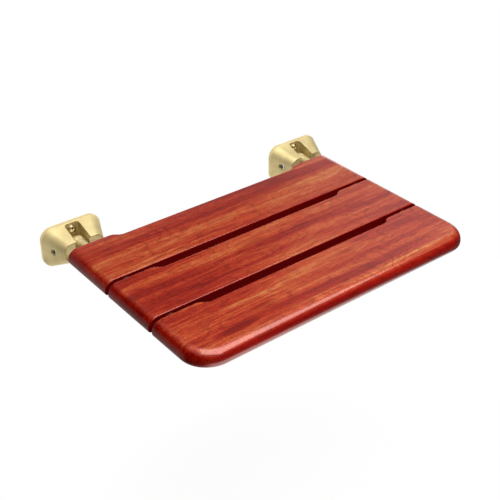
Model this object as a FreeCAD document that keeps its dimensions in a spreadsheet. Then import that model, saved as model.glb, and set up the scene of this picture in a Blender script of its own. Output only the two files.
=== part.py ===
import FreeCAD, Part

import math
import os
from enum import IntEnum
from types import SimpleNamespace

import Sketcher

# A fold down wall seat: three wooden slats on two arms, which turn in two cast wall brackets.
# The wall is the plane Y = 0 and the seat stands out towards -Y. X = 0 is midway between the
# brackets, and Z = 0 is the middle of their flanges. All lengths are in millimetres.

DRIVING_SIZES = (
    # the wooden slats
    ("seat_overhang", 32.1, "from the middle of an arm to the end of the slats"),
    ("slat_thickness", 21, "slats, top to underside"),
    ("rear_slat_depth", 98.3, "rear slat, front to back at its ends"),
    ("middle_slat_depth", 95.6, "middle slat, front to back at its ends"),
    ("front_slat_depth", 100.7, "front slat, front to back at its ends"),
    ("slat_gap", 5.4, "gap between two slats at their ends"),
    ("recess_depth", 8.2, "how far the middle of a rear edge is set in"),
    ("recess_inset", 43.7, "from the middle of an arm to the middle of the curved step"),
    ("recess_run", 20.4, "width of the curved step"),
    ("end_round", 15, "radius on top of the ends and of the front edge"),
    ("under_round", 5, "radius below the ends and the front edge"),
    ("gap_round", 2, "radius round the faces at the gaps"),
    ("front_corner", 40, "corner radius of the front slat, from above"),
    ("rear_edge", 51, "from the wall to the rear slat"),
    ("seat_rise", 14, "from the pivot up to the top of the seat"),
    # the two brackets
    ("bracket_spacing", 406.4, "between the middles of the brackets"),
    ("flange_width", 92.2, "flange on the wall, sideways"),
    ("flange_height", 60.6, "flange on the wall, upwards"),
    ("flange_corner", 17.4, "corner radius of the flange"),
    ("flange_thickness", 6, "straight edge of the flange"),
    ("flange_rim", 1.5, "radius at the back of the flange"),
    ("nose_width", 63, "nose, sideways"),
    ("nose_height", 30.2, "nose, upwards"),
    ("nose_corner", 13.4, "corner radius of the nose"),
    ("nose_reach", 41, "from the wall to the lip of the nose"),
    ("lip_width", 0.9, "lip round the dished nose"),
    ("lip_round", 0.6, "radius outside on that lip"),
    ("dish_depth", 4.2, "depth of the dish in the nose"),
    ("dish_shoulder_depth", 2.6, "depth where the wall of the dish turns into its floor"),
    ("dish_shoulder_inset", 3.9, "from the outline of the nose to that turn"),
    ("dish_floor_inset", 9, "from the outline of the nose to the flat of the floor"),
    ("slot_width", 22.2, "slot for the arm, sideways"),
    ("slot_wall", 8, "wall behind the slot"),
    ("slot_corner", 4.5, "corner radius at the back of the slot"),
    ("slot_round", 0.8, "radius on the rim of the slot"),
    ("sill_drop", 2.6, "from the pivot down to the floor of the slot"),
    # the arms and their pivots
    ("pivot_reach", 23.8, "from the wall to the pivot"),
    ("pivot_height", 3.6, "from the middle of the flange up to the pivot"),
    ("pivot_diameter", 7, "shoulder of the pivot screw"),
    ("pivot_thread", 6, "threaded end of the pivot screw"),
    ("pivot_head", 9.4, "head of the pivot screw"),
    ("pivot_head_length", 5, "length of that head"),
    ("pivot_head_reach", 37, "from the middle of the bracket to that head's face"),
    ("pivot_seat_depth", 5.4, "how far the shoulder enters the far cheek"),
    ("pivot_thread_length", 9.5, "threaded length in the far cheek"),
    ("pivot_socket", 5, "hexagon socket across its flats"),
    ("pivot_socket_depth", 3.2, "depth of that socket"),
    ("running_clearance", 0.05, "round the pivot in its bush"),
    ("fit_clearance", 0.05, "between pieces that are fitted together"),
    ("motion_clearance", 0.3, "between the arm and what it moves past"),
    ("bore_clearance", 0.3, "round screws in plain holes"),
    ("well_clearance", 0.6, "round the eye in the bracket"),
    ("eye_diameter", 22, "eye of the arm"),
    ("eye_width", 16, "eye of the arm, sideways"),
    ("eye_round", 5.5, "radius on the rims of the eye"),
    ("arm_rise", 3.2, "from the pivot up to the middle of the rod"),
    ("rod_diameter", 15, "rod of the arm"),
    ("rod_cover", 22, "wood in front of the end of the rod"),
    ("rod_chamfer", 1, "chamfer on the end of the rod"),
    ("bush_wall", 0.95, "wall of the pivot bush"),
    ("thrust_diameter", 12, "thrust washer, outside"),
    # the screws into the wall and into the arms
    ("wall_screw_height", 19.7, "from the middle of the flange to a wall screw"),
    ("wall_screw_thread", 6, "wall screw, over its thread"),
    ("wall_screw_shank", 4.4, "wall screw, plain shank in the bracket"),
    ("wall_screw_depth", 42, "length of the screw in the wall"),
    ("wall_screw_point", 7, "length of its point"),
    ("wall_screw_head", 11.5, "wall screw, head"),
    ("wall_screw_head_height", 2.8, "height of that head"),
    ("wall_screw_head_round", 2, "radius on that head"),
    ("wall_screw_cross", 6, "cross recess, length of an arm"),
    ("wall_screw_cross_width", 1.4, "cross recess, width of an arm"),
    ("wall_screw_cross_depth", 1.6, "cross recess, depth"),
    ("wall_washer_diameter", 13, "washer under that head, outside"),
    ("wall_washer_thickness", 1, "washer under that head"),
    ("driver_bore", 14, "bore to the lower wall screw"),
    ("slat_screw_shank", 5, "screw into the arm, shank"),
    ("slat_screw_head", 9.6, "screw into the arm, head"),
    ("slat_screw_inset", 0.4, "how far that head lies below the wood"),
    ("slat_screw_length", 14, "length of that screw with its head"),
    ("slat_screw_socket", 3, "hexagon socket across its flats"),
    ("slat_screw_socket_depth", 2.5, "depth of that socket"),
)

SHEET = "Sizes"
START, END, CENTRE = IntEnum("PointOfGeometry", "START END CENTRE")
ORIGIN = -1
SIDES = {"left": -1, "right": 1}
NEAR = 0.001
ROUND_SHARE = 0.45  # the most of a wall that a round on one side of it may take
COUNTERSINK_TAPER = -45.0
HEXAGON_SIDES = 6


class Size:
    """A length with the expression that it follows, so that a formula is written only once."""

    def __init__(self, text, number):
        self.text = text
        self.number = number

    def joined(self, sign, other, number):
        return Size(f"({self.text} {sign} {as_size(other).text})", number)

    def __add__(self, other):
        return self.joined("+", other, self.number + as_size(other).number)

    def __sub__(self, other):
        return self.joined("-", other, self.number - as_size(other).number)

    def __mul__(self, other):
        return self.joined("*", other, self.number * as_size(other).number)

    def __truediv__(self, other):
        return self.joined("/", other, self.number / as_size(other).number)

    def __neg__(self):
        return self * -1


def as_size(value):
    return value if isinstance(value, Size) else Size(str(value), value)


def smaller(first, second):
    return Size(f"min({first.text}; {second.text})", min(first.number, second.number))


ZERO = as_size(0)
size = SimpleNamespace(**{alias: Size(f"{SHEET}.{alias}", mm) for alias, mm, meaning in DRIVING_SIZES})

# Places that several pieces share.
pivot_y = -size.pivot_reach
rod_z = size.pivot_height + size.arm_rise
seat_top = size.pivot_height + size.seat_rise
seat_under = seat_top - size.slat_thickness
middle_slat_rear = size.rear_edge + size.rear_slat_depth + size.slat_gap
front_slat_rear = middle_slat_rear + size.middle_slat_depth + size.slat_gap
seat_front = front_slat_rear + size.front_slat_depth
seat_width = size.bracket_spacing + size.seat_overhang * 2
recess_reach = size.bracket_spacing / 2 - size.recess_inset
rod_reach = seat_front - size.rod_cover
wall_hole = size.wall_screw_thread + size.bore_clearance * 2
SLATS = {
    "rear_slat": (size.rear_edge, size.rear_slat_depth),
    "middle_slat": (middle_slat_rear, size.middle_slat_depth),
    "front_slat": (front_slat_rear, size.front_slat_depth),
}
bush_bore = size.pivot_diameter + size.running_clearance * 2
bush_diameter = bush_bore + size.bush_wall * 2
pivot_head_seat = size.pivot_head_reach - size.pivot_head_length
pivot_shoulder_end = size.slot_width / 2 + size.pivot_seat_depth
pivot_end = pivot_shoulder_end + size.pivot_thread_length
thrust_thickness = (size.slot_width - size.eye_width) / 2 - size.motion_clearance - size.fit_clearance


def fill_sheet(doc):
    """The spreadsheet with one row for each driving size."""
    sheet = doc.addObject("Spreadsheet::Sheet", SHEET)
    for row, (alias, mm, meaning) in enumerate(DRIVING_SIZES, start=1):
        sheet.set(f"A{row}", meaning)
        sheet.set(f"B{row}", str(mm))
        sheet.setAlias(f"B{row}", alias)
    doc.recompute()


def bind(thing, **properties):
    """Ties properties to sizes. Two underscores in a name stand for a dot."""
    for name, value in properties.items():
        thing.setExpression(name.replace("__", "."), as_size(value).text)


def start_body(doc, label, x=ZERO, y=ZERO, z=ZERO):
    body = doc.addObject("PartDesign::Body", label)
    body.Label = label
    bind(body, Placement__Base__x=x, Placement__Base__y=y, Placement__Base__z=z)
    return body


def origin_plane(body, role):
    return next(plane for plane in body.Origin.OriginFeatures if plane.Role == role)


def start_sketch(body, name, role, along=ZERO, up=ZERO):
    """A sketch parallel to an origin plane, moved along its normal and up in its own plane."""
    sketch = body.newObject("Sketcher::SketchObject", f"{body.Name}_{name}")
    sketch.AttachmentSupport = [(origin_plane(body, role), "")]
    sketch.MapMode = "FlatFace"
    bind(sketch, AttachmentOffset__Base__z=along, AttachmentOffset__Base__y=up)
    return sketch


def measure(sketch, kind, *ends, value):
    """Adds a measured constraint that follows its size."""
    index = sketch.addConstraint(Sketcher.Constraint(kind, *ends, value.number))
    sketch.setExpression(f"Constraints[{index}]", value.text)


def hold(sketch, geometry, end, x, y):
    """Holds one point of a line, circle or arc at a place in the sketch."""
    measure(sketch, "DistanceX", ORIGIN, START, geometry, end, value=x)
    measure(sketch, "DistanceY", ORIGIN, START, geometry, end, value=y)


def vector(x, y):
    return FreeCAD.Vector(as_size(x).number, as_size(y).number, 0)


def add_circle(sketch, x, y, diameter):
    circle = sketch.addGeometry(Part.Circle(vector(x, y), FreeCAD.Vector(0, 0, 1), diameter.number / 2))
    hold(sketch, circle, CENTRE, x, y)
    measure(sketch, "Diameter", circle, value=diameter)


def add_outline(sketch, corners):
    """A closed outline of straight lines through corners that are held at their places."""
    places = [vector(x, y) for x, y in corners]
    ends = places[1:] + places[:1]
    lines = [sketch.addGeometry(Part.LineSegment(start, end)) for start, end in zip(places, ends)]
    for line, following, (x, y) in zip(lines, lines[1:] + lines[:1], corners):
        sketch.addConstraint(Sketcher.Constraint("Coincident", line, END, following, START))
        hold(sketch, line, START, x, y)


def add_arc(sketch, x, y, radius, from_degrees, to_degrees):
    circle = Part.Circle(vector(x, y), FreeCAD.Vector(0, 0, 1), as_size(radius).number)
    return sketch.addGeometry(Part.ArcOfCircle(circle, math.radians(from_degrees), math.radians(to_degrees)))


def add_round_rectangle(sketch, width, height, corner, middle):
    """A rectangle with four equal round corners, its middle on the upright axis of the sketch."""
    side, top, low = width / 2, middle + height / 2, middle - height / 2
    inner, upper, lower = side - corner, top - corner, low + corner
    top_line = sketch.addGeometry(Part.LineSegment(vector(-inner, top), vector(inner, top)))
    right_line = sketch.addGeometry(Part.LineSegment(vector(side, upper), vector(side, lower)))
    low_line = sketch.addGeometry(Part.LineSegment(vector(inner, low), vector(-inner, low)))
    left_line = sketch.addGeometry(Part.LineSegment(vector(-side, lower), vector(-side, upper)))
    arcs = (
        add_arc(sketch, inner, upper, corner, 0, 90),
        add_arc(sketch, inner, lower, corner, 270, 360),
        add_arc(sketch, -inner, lower, corner, 180, 270),
        add_arc(sketch, -inner, upper, corner, 90, 180),
    )
    lines = (top_line, right_line, low_line, left_line)
    for line, arc, following in zip(lines, arcs, lines[1:] + lines[:1]):
        sketch.addConstraint(Sketcher.Constraint("Tangent", line, END, arc, END))
        sketch.addConstraint(Sketcher.Constraint("Tangent", arc, START, following, START))
    for arc in arcs[1:]:
        sketch.addConstraint(Sketcher.Constraint("Equal", arcs[0], arc))
    sketch.addConstraint(Sketcher.Constraint("Horizontal", top_line))
    sketch.addConstraint(Sketcher.Constraint("Horizontal", low_line))
    sketch.addConstraint(Sketcher.Constraint("Vertical", right_line))
    sketch.addConstraint(Sketcher.Constraint("Vertical", left_line))
    measure(sketch, "Radius", arcs[0], value=corner)
    measure(sketch, "DistanceX", ORIGIN, START, right_line, START, value=side)
    measure(sketch, "DistanceX", ORIGIN, START, left_line, START, value=-side)
    measure(sketch, "DistanceY", ORIGIN, START, top_line, START, value=top)
    measure(sketch, "DistanceY", ORIGIN, START, low_line, START, value=low)


def add_feature(body, kind, name, sketch=None, **settings):
    """A feature of the body, worked out at once, so that the next one can build on it."""
    feature = body.newObject(f"PartDesign::{kind}", f"{body.Name}_{name}")
    if sketch is not None:
        feature.Profile = sketch
    for key, value in settings.items():
        if isinstance(value, Size):
            bind(feature, **{key: value})
        else:
            setattr(feature, key, value)
    body.Tip = feature
    body.Document.recompute()
    return feature


def cut(body, kind, name, sketch, **settings):
    """A feature that takes material away, and has to leave less than there was."""
    before = body.Tip.Shape.Volume
    feature = add_feature(body, kind, name, sketch, **settings)
    if feature.Shape.Volume > before - NEAR:
        raise RuntimeError(f"{feature.Name} cuts nothing")
    return feature


def spin(body, kind, name, sketch):
    """A full turn of a sketch round its own level axis."""
    make = cut if kind == "Groove" else add_feature
    return make(body, kind, name, sketch, ReferenceAxis=(sketch, ["H_Axis"]), Angle=360.0)


def edges_that(shape, test):
    """The names of the edges whose start, middle and end all pass a test."""
    names = []
    for number, edge in enumerate(shape.Edges, start=1):
        first, last = edge.ParameterRange
        points = [edge.valueAt(first), edge.valueAt((first + last) / 2), edge.valueAt(last)]
        if all(test(point) for point in points):
            names.append((f"Edge{number}", points))
    return names


def dress(body, kind, name, names, **settings):
    """A fillet or a chamfer on named edges of what the body is so far."""
    return add_feature(body, kind, name, Base=(body.Tip, names), **settings)


def add_step(sketch, outer, inner, outer_y, inner_y, outer_line, inner_line, side):
    """The curved step between two straight stretches: two equal arcs that run into each other."""
    run, drop = abs(outer.number - inner.number), outer_y.number - inner_y.number
    radius = (run * run + drop * drop) / (4 * drop)
    sweep = math.degrees(math.asin(run / 2 / radius))
    if side > 0:
        bulge = add_arc(sketch, outer, outer_y - radius, radius, 90, 90 + sweep)
        hollow = add_arc(sketch, inner, inner_y + radius, radius, 270, 270 + sweep)
        ends = (START, END, END, START)
    else:
        bulge = add_arc(sketch, outer, outer_y - radius, radius, 90 - sweep, 90)
        hollow = add_arc(sketch, inner, inner_y + radius, radius, 270 - sweep, 270)
        ends = (END, START, START, END)
    outer_end, bulge_end, hollow_end, inner_end = ends
    straight = (END, START) if side > 0 else (START, END)
    sketch.addConstraint(Sketcher.Constraint("Tangent", outer_line, straight[0], bulge, outer_end))
    sketch.addConstraint(Sketcher.Constraint("Tangent", bulge, bulge_end, hollow, hollow_end))
    sketch.addConstraint(Sketcher.Constraint("Tangent", hollow, inner_end, inner_line, straight[1]))
    sketch.addConstraint(Sketcher.Constraint("Equal", bulge, hollow))


def draw_slat(sketch, rear, depth):
    """The outline of a slat from above: straight ends and front, its rear edge set in amid."""
    side, front = seat_width / 2, rear + depth
    outer, inner = recess_reach + size.recess_run / 2, recess_reach - size.recess_run / 2
    back, set_in = -rear, -(rear + size.recess_depth)
    stretches = (
        ((-side, -front), (side, -front)),
        ((side, -front), (side, back)),
        ((side, back), (outer, back)),
        ((inner, set_in), (-inner, set_in)),
        ((-outer, back), (-side, back)),
        ((-side, back), (-side, -front)),
    )
    lines = [sketch.addGeometry(Part.LineSegment(vector(*start), vector(*end))) for start, end in stretches]
    front_line, right_line, right_back, inner_back, left_back, left_line = lines
    for line, (start, end) in zip(lines, stretches):
        hold(sketch, line, START, *start)
    for line, following in ((front_line, right_line), (right_line, right_back)):
        sketch.addConstraint(Sketcher.Constraint("Coincident", line, END, following, START))
    for line, following in ((left_back, left_line), (left_line, front_line)):
        sketch.addConstraint(Sketcher.Constraint("Coincident", line, END, following, START))
    hold(sketch, right_back, END, outer, back)
    hold(sketch, inner_back, END, -inner, set_in)
    add_step(sketch, outer, inner, back, set_in, right_back, inner_back, side=1)
    add_step(sketch, -outer, -inner, back, set_in, left_back, inner_back, side=-1)


def round_slat(body, rear, depth, is_front):
    """The rounds of a slat: large on top of its ends, small round the faces at the gaps."""
    side, front = seat_width.number / 2, -(rear + depth).number
    top, under = seat_top.number, seat_under.number
    set_in = -(rear + size.recess_depth).number

    def is_outside(point):
        at_front = is_front and point.y < front + size.front_corner.number + NEAR
        return abs(point.x) > side - NEAR or at_front

    def at_height(height):
        return lambda point: abs(point.z - height) < NEAR and is_outside(point)

    def at_gap(point):
        return point.y > set_in - NEAR or (not is_front and point.y < front + NEAR)

    def is_seam(points):
        start, middle, end = points
        upright = math.hypot(start.x - end.x, start.y - end.y) < NEAR
        return upright and abs(start.x) < side - NEAR

    if is_front:
        corners = edges_that(body.Tip.Shape, lambda p: abs(p.x) > side - NEAR and p.y < front + NEAR)
        dress(body, "Fillet", "corners", [name for name, _ in corners], Radius=size.front_corner)
    under_round = smaller(size.under_round, size.slat_thickness * ROUND_SHARE)
    end_round = smaller(size.end_round, size.slat_thickness - under_round - size.gap_round / 2)
    upper = edges_that(body.Tip.Shape, at_height(top))
    dress(body, "Fillet", "end_round", [name for name, _ in upper], Radius=end_round)
    lower = edges_that(body.Tip.Shape, at_height(under))
    dress(body, "Fillet", "under_round", [name for name, _ in lower], Radius=under_round)
    gap = [name for name, points in edges_that(body.Tip.Shape, at_gap) if not is_seam(points)]
    dress(body, "Fillet", "gap_round", gap, Radius=size.gap_round)


def make_slat(doc, label):
    """A slat with the bores of both arms and the countersunk holes of their screws."""
    rear, depth = SLATS[label]
    is_front = label == "front_slat"
    body = start_body(doc, label)
    outline = start_sketch(body, "outline", "XY_Plane", along=seat_under)
    draw_slat(outline, rear, depth)
    add_feature(body, "Pad", "board", outline, Length=size.slat_thickness)
    round_slat(body, rear, depth, is_front)

    bores = start_sketch(body, "bores", "XZ_Plane", along=rear - size.recess_depth)
    bore_diameter = size.rod_diameter + size.fit_clearance * 2
    for sign in SIDES.values():
        add_circle(bores, size.bracket_spacing / 2 * sign, rod_z, bore_diameter)
    if is_front:
        bore_length = rod_reach + size.motion_clearance - rear + size.recess_depth
    else:
        bore_length = depth + size.recess_depth * 2
    cut(body, "Pocket", "arm_bores", bores, Length=bore_length, Reversed=True)

    shank_hole = size.slat_screw_shank + size.bore_clearance * 2
    countersink = size.slat_screw_head + size.slat_screw_inset * 2 + size.fit_clearance * 2
    shanks = start_sketch(body, "screws", "XY_Plane", along=seat_under)
    cones = start_sketch(body, "heads", "XY_Plane", along=seat_under)
    for sign in SIDES.values():
        place = (size.bracket_spacing / 2 * sign, -(rear + depth / 2))
        add_circle(shanks, *place, shank_hole)
        add_circle(cones, *place, countersink)
    cut(body, "Pocket", "screw_holes", shanks, Length=rod_z - seat_under, Reversed=True)
    cut(body, "Pocket", "countersinks", cones, Length=(countersink - shank_hole) / 2,
        Reversed=True, TaperAngle=COUNTERSINK_TAPER)
    return body


def make_arm(doc, label, sign):
    """An arm: a round rod that runs tangent from a round eye, bored for its bush and screws."""
    body = start_body(doc, label, x=size.bracket_spacing / 2 * sign)
    eye = start_sketch(body, "eye", "YZ_Plane")
    add_circle(eye, pivot_y, size.pivot_height, size.eye_diameter)
    add_feature(body, "Pad", "eye", eye, Length=size.eye_width, Midplane=True)
    rims = edges_that(body.Tip.Shape, lambda point: abs(point.x) > size.eye_width.number / 2 - NEAR)
    dress(body, "Fillet", "eye_round", [name for name, _ in rims],
          Radius=smaller(size.eye_round, size.eye_width * ROUND_SHARE))
    rod = start_sketch(body, "rod", "XZ_Plane", along=size.pivot_reach)
    add_circle(rod, ZERO, rod_z, size.rod_diameter)
    add_feature(body, "Pad", "rod", rod, Length=rod_reach - size.pivot_reach)
    tip = edges_that(body.Tip.Shape, lambda point: point.y < NEAR - rod_reach.number)
    dress(body, "Chamfer", "tip", [name for name, _ in tip], Size=size.rod_chamfer)

    bore = start_sketch(body, "bore", "YZ_Plane")
    add_circle(bore, pivot_y, size.pivot_height, bush_diameter + size.fit_clearance * 2)
    cut(body, "Pocket", "bush_bore", bore, Length=size.eye_width * 2, Midplane=True)
    holes = start_sketch(body, "holes", "XY_Plane", along=seat_under)
    for rear, depth in SLATS.values():
        add_circle(holes, ZERO, -(rear + depth / 2), size.slat_screw_shank + size.fit_clearance * 2)
    hole_depth = size.slat_screw_inset + size.slat_screw_length + size.motion_clearance
    cut(body, "Pocket", "tapped_holes", holes, Length=hole_depth, Reversed=True)
    return body


def make_slat_screws(doc, label, sign):
    """The three countersunk screws that hold the slats to one arm, driven in from beneath."""
    body = start_body(doc, label, x=size.bracket_spacing / 2 * sign)
    head_face = seat_under + size.slat_screw_inset
    shanks = start_sketch(body, "shanks", "XY_Plane", along=head_face)
    heads = start_sketch(body, "heads", "XY_Plane", along=head_face)
    sockets = start_sketch(body, "sockets", "XY_Plane", along=head_face)
    for rear, depth in SLATS.values():
        y = -(rear + depth / 2)
        add_circle(shanks, ZERO, y, size.slat_screw_shank)
        add_circle(heads, ZERO, y, size.slat_screw_head)
        add_hexagon(sockets, ZERO, y, size.slat_screw_socket)
    add_feature(body, "Pad", "shanks", shanks, Length=size.slat_screw_length)
    head_height = (size.slat_screw_head - size.slat_screw_shank) / 2
    add_feature(body, "Pad", "heads", heads, Length=head_height, TaperAngle=COUNTERSINK_TAPER)
    cut(body, "Pocket", "sockets", sockets, Length=size.slat_screw_socket_depth, Reversed=True)
    return body


def add_hexagon(sketch, x, y, across_flats):
    half_side = math.pi / HEXAGON_SIDES
    corner = across_flats / 2 / math.cos(half_side)
    turns = [2 * half_side * step for step in range(HEXAGON_SIDES)]
    add_outline(sketch, [(corner * math.cos(a) + x, corner * math.sin(a) + y) for a in turns])


def make_bush(doc, label, sign):
    """The plain bearing in the eye of an arm."""
    body = start_body(doc, label, x=size.bracket_spacing / 2 * sign, y=pivot_y, z=size.pivot_height)
    ring = start_sketch(body, "ring", "YZ_Plane")
    add_circle(ring, ZERO, ZERO, bush_diameter)
    add_circle(ring, ZERO, ZERO, bush_bore)
    add_feature(body, "Pad", "bush", ring, Length=size.eye_width, Midplane=True)
    return body


def make_thrust_washer(doc, label, sign, towards):
    """The washer between the eye and one cheek of the slot."""
    body = start_body(doc, label, x=size.bracket_spacing / 2 * sign, y=pivot_y, z=size.pivot_height)
    face = (size.eye_width / 2 + size.motion_clearance) * towards
    if towards < 0:
        face = face - thrust_thickness
    ring = start_sketch(body, "ring", "YZ_Plane", along=face)
    add_circle(ring, ZERO, ZERO, size.thrust_diameter)
    add_circle(ring, ZERO, ZERO, size.pivot_diameter + size.fit_clearance * 2)
    add_feature(body, "Pad", "washer", ring, Length=thrust_thickness)
    return body


def make_pivot_screw(doc, label, sign):
    """The shoulder screw that the eye turns on: head, shoulder and threaded end in one turning."""
    body = start_body(doc, label, x=size.bracket_spacing / 2 * sign, y=pivot_y, z=size.pivot_height)
    profile = start_sketch(body, "profile", "XY_Plane")
    add_outline(profile, (
        (-size.pivot_head_reach, ZERO),
        (-size.pivot_head_reach, size.pivot_head / 2),
        (-pivot_head_seat, size.pivot_head / 2),
        (-pivot_head_seat, size.pivot_diameter / 2),
        (pivot_shoulder_end, size.pivot_diameter / 2),
        (pivot_shoulder_end, size.pivot_thread / 2),
        (pivot_end, size.pivot_thread / 2),
        (pivot_end, ZERO),
    ))
    spin(body, "Revolution", "turning", profile)
    socket = start_sketch(body, "socket", "YZ_Plane", along=-size.pivot_head_reach)
    add_hexagon(socket, ZERO, ZERO, size.pivot_socket)
    cut(body, "Pocket", "socket", socket, Length=size.pivot_socket_depth, Reversed=True)
    return body


def draw_nose(body, name, inset, reach):
    """A section of the nose, drawn in from its outline by an inset and lying at some reach."""
    sketch = start_sketch(body, name, "XZ_Plane", along=reach)
    corner = size.nose_corner - smaller(inset, size.nose_corner - size.lip_width)
    width, height = size.nose_width - inset * 2, size.nose_height - inset * 2
    add_round_rectangle(sketch, width, height, corner, size.pivot_height)
    return sketch


def make_bracket(doc, label, sign):
    """A wall bracket: flange, tapering body, dished nose, and the slot with its saddle and well."""
    body = start_body(doc, label, x=size.bracket_spacing / 2 * sign)
    flange = start_sketch(body, "flange", "XZ_Plane")
    add_round_rectangle(flange, size.flange_width, size.flange_height, size.flange_corner, ZERO)
    add_feature(body, "Pad", "flange", flange, Length=size.flange_thickness)
    back = edges_that(body.Tip.Shape, lambda point: point.y > -NEAR)
    dress(body, "Fillet", "rim", [name for name, _ in back], Radius=size.flange_rim)

    root = start_sketch(body, "root", "XZ_Plane", along=size.flange_thickness)
    add_round_rectangle(root, size.flange_width, size.flange_height, size.flange_corner, ZERO)
    lip = draw_nose(body, "lip", ZERO, size.nose_reach)
    add_feature(body, "AdditiveLoft", "taper", root, Sections=[lip], Ruled=True)
    end = edges_that(body.Tip.Shape, lambda point: point.y < NEAR - size.nose_reach.number)
    dress(body, "Fillet", "lip_round", [name for name, _ in end], Radius=size.lip_round)

    bowl_edge = draw_nose(body, "bowl_edge", size.lip_width, size.nose_reach)
    shoulder_reach, floor_reach = size.nose_reach - size.dish_shoulder_depth, size.nose_reach - size.dish_depth
    bowl_wall = draw_nose(body, "bowl_wall", size.dish_shoulder_inset, shoulder_reach)
    bowl_floor = draw_nose(body, "bowl_floor", size.dish_floor_inset, floor_reach)
    cut(body, "SubtractiveLoft", "bowl", bowl_edge, Sections=[bowl_wall, bowl_floor])
    cut_slot(body)
    cut_pivot_bore(body)
    cut_wall_holes(body)
    return body


def cut_slot(body):
    """The slot, open to the top and the front, with the well of the eye and the saddle of the rod."""
    slot = start_sketch(body, "slot", "XY_Plane", along=size.pivot_height - size.sill_drop)
    slot_front = size.nose_reach + size.slot_corner * 2
    middle = -(slot_front + size.slot_wall) / 2
    add_round_rectangle(slot, size.slot_width, slot_front - size.slot_wall, size.slot_corner, middle)
    cut(body, "Pocket", "slot", slot, Length=size.flange_height, Reversed=True)
    round_slot(body)
    well = start_sketch(body, "well", "YZ_Plane")
    add_circle(well, pivot_y, size.pivot_height, size.eye_diameter + size.well_clearance * 2)
    cut(body, "Pocket", "well", well, Length=size.slot_width, Midplane=True)
    saddle = start_sketch(body, "saddle", "XZ_Plane", along=size.pivot_reach)
    add_circle(saddle, ZERO, rod_z, size.rod_diameter + size.motion_clearance * 2)
    cut(body, "Pocket", "saddle", saddle, Length=size.nose_reach, Reversed=True)


def round_slot(body):
    """The round on the rim of the slot, along the sloping top of the bracket."""
    side, reach, root = size.slot_width.number / 2, size.nose_reach.number, size.flange_thickness.number
    upper = size.flange_height.number / 2
    drop = upper - (size.pivot_height + size.nose_height / 2).number

    def on_rim(point):
        height = upper - drop * (-point.y - root) / (reach - root)
        return abs(point.x) < side + NEAR and abs(point.z - height) < size.lip_round.number

    rim = [name for name, _ in edges_that(body.Tip.Shape, on_rim)]
    dress(body, "Fillet", "slot_round", rim, Radius=size.slot_round)


def cut_pivot_bore(body):
    """The stepped bore of the pivot screw: through the near cheek and blind in the far one."""
    profile = start_sketch(body, "pivot", "XY_Plane", along=size.pivot_height, up=pivot_y)
    outside = -size.flange_width / 2
    head = size.pivot_head / 2 + size.bore_clearance
    shoulder = size.pivot_diameter / 2 + size.fit_clearance
    thread = size.pivot_thread / 2 + size.fit_clearance
    shoulder_end, thread_end = pivot_shoulder_end + size.bore_clearance, pivot_end + size.bore_clearance
    add_outline(profile, (
        (outside, ZERO),
        (outside, head),
        (-pivot_head_seat, head),
        (-pivot_head_seat, shoulder),
        (shoulder_end, shoulder),
        (shoulder_end, thread),
        (thread_end, thread),
        (thread_end, ZERO),
    ))
    spin(body, "Groove", "pivot_bore", profile)


def cut_wall_holes(body):
    """The two holes of the wall screws, and the bore that lets a driver reach the lower one."""
    holes = start_sketch(body, "holes", "XZ_Plane")
    for height in (size.wall_screw_height, -size.wall_screw_height):
        add_circle(holes, ZERO, height, wall_hole)
    cut(body, "Pocket", "wall_holes", holes, Length=size.slot_wall + size.fit_clearance, Reversed=True)
    driver = start_sketch(body, "driver", "XZ_Plane", along=size.slot_wall)
    add_circle(driver, ZERO, -size.wall_screw_height, size.driver_bore)
    cut(body, "Pocket", "driver_bore", driver, Length=size.nose_reach, Reversed=True)


def make_wall_washers(doc, label, sign):
    """The two flat washers under the heads of a bracket's wall screws."""
    body = start_body(doc, label, x=size.bracket_spacing / 2 * sign)
    rings = start_sketch(body, "rings", "XZ_Plane", along=size.slot_wall)
    for height in (size.wall_screw_height, -size.wall_screw_height):
        add_circle(rings, ZERO, height, size.wall_washer_diameter)
        add_circle(rings, ZERO, height, wall_hole)
    add_feature(body, "Pad", "washers", rings, Length=size.wall_washer_thickness)
    return body


def make_wall_screws(doc, label, sign):
    """The two screws of a bracket, plain in the bracket and as wide as their thread in the wall."""
    body = start_body(doc, label, x=size.bracket_spacing / 2 * sign)
    head_seat = size.slot_wall + size.wall_washer_thickness
    head_face = head_seat + size.wall_screw_head_height
    profile = start_sketch(body, "profile", "YZ_Plane", up=size.wall_screw_height)
    add_outline(profile, (
        (-head_face, ZERO),
        (-head_face, size.wall_screw_head / 2),
        (-head_seat, size.wall_screw_head / 2),
        (-head_seat, size.wall_screw_shank / 2),
        (ZERO, size.wall_screw_shank / 2),
        (ZERO, size.wall_screw_thread / 2),
        (size.wall_screw_depth - size.wall_screw_point, size.wall_screw_thread / 2),
        (size.wall_screw_depth, ZERO),
    ))
    spin(body, "Revolution", "turning", profile)
    rim = edges_that(body.Tip.Shape, lambda point: point.y < NEAR - head_face.number)
    dress(body, "Fillet", "dome", [name for name, _ in rim], Radius=size.wall_screw_head_round)
    cross = start_sketch(body, "cross", "XZ_Plane", along=head_face, up=size.wall_screw_height)
    far, near = size.wall_screw_cross / 2, size.wall_screw_cross_width / 2
    add_outline(cross, (
        (near, near), (near, far), (-near, far), (-near, near), (-far, near), (-far, -near),
        (-near, -near), (-near, -far), (near, -far), (near, -near), (far, -near), (far, near),
    ))
    cut(body, "Pocket", "cross", cross, Length=size.wall_screw_cross_depth)
    level = (origin_plane(body, "XY_Plane"), [""])
    add_feature(body, "Mirrored", "pair", MirrorPlane=level, TransformMode="Whole shape")
    return body


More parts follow.
